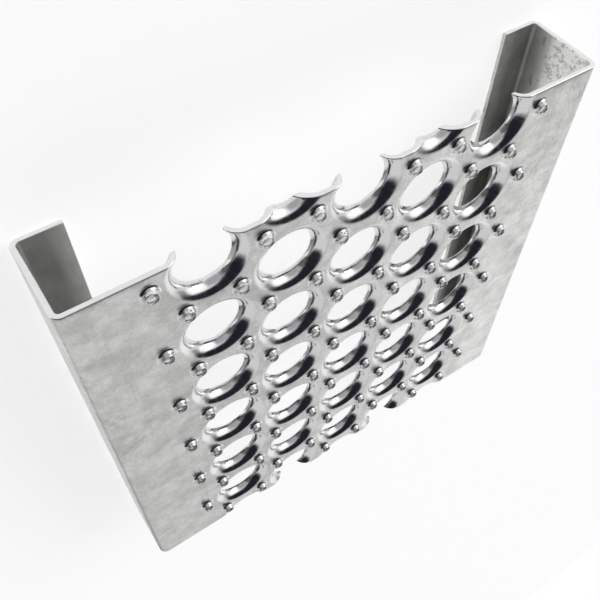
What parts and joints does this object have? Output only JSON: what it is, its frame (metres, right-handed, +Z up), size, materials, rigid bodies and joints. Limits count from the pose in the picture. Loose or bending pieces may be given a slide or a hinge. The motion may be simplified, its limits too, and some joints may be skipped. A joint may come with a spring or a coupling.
{
  "type": "perforated plank",
  "caption": "Short cut length of a pressed metal channel plank, with large dimpled drain holes, small raised grip buttons, side flanges and return lips.",
  "frame": {"origin": "middle of the base: halfway across the width and along the length, on the plane that the return lips stand on", "axes": "+X across the plank to its right side, +Y along the plank, +Z up through the walking surface"},
  "size_m": [0.25, 0.24, 0.0426],
  "materials": {
    "mill_aluminium": "satin mill finish, burnished bright where the holes and buttons are pressed"
  },
  "bodies": {
    "root": {"tread_web": "mill_aluminium", "left_side_flange": "mill_aluminium", "right_side_flange": "mill_aluminium", "left_return_lip": "mill_aluminium", "right_return_lip": "mill_aluminium"}
  },
  "joints": []
}
